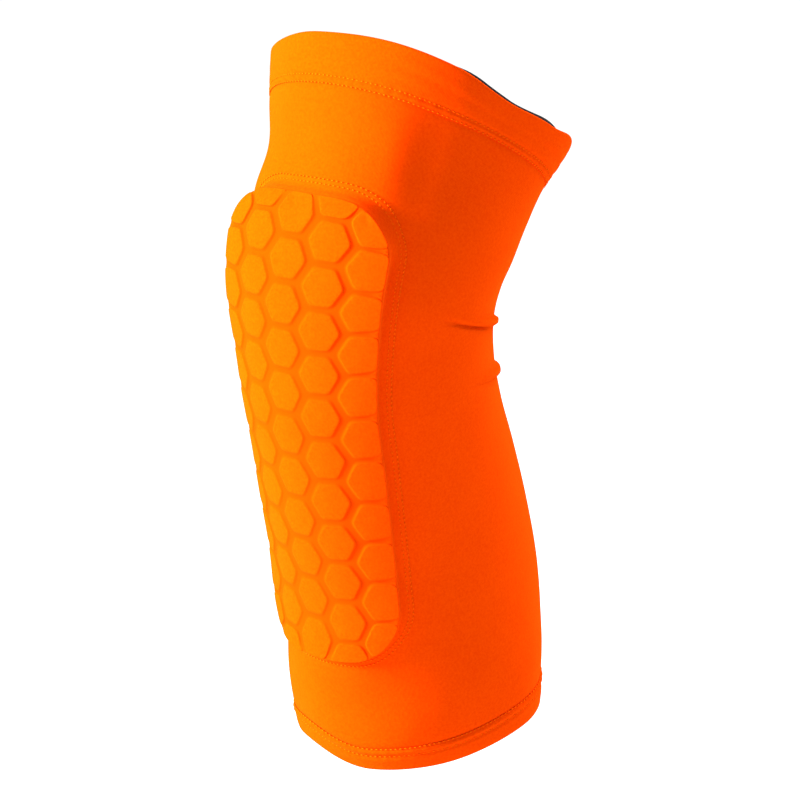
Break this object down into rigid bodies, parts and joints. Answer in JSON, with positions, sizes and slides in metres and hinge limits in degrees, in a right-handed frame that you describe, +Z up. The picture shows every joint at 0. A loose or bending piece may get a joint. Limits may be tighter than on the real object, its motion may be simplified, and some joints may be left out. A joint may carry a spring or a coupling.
{
  "type": "basketball knee pad",
  "caption": "Long knitted knee sleeve bent at the knee, with folded hems, a grip strip inside the thigh hem and a honeycomb foam pad on the front.",
  "frame": {"origin": "middle of the knee, inside the sleeve, where the knee sits", "axes": "+Z up the leg, -Y to the front of the knee, +X to the wearer's left side"},
  "size_m": [0.1402, 0.1545, 0.3362],
  "materials": {
    "knit": "matte",
    "padding": "matte",
    "grip": "satin"
  },
  "bodies": {
    "root": {"sleeve": "knit", "top_hem": "knit", "bottom_hem": "knit", "grip_strip": "grip", "honeycomb_pad": "padding"}
  },
  "joints": []
}
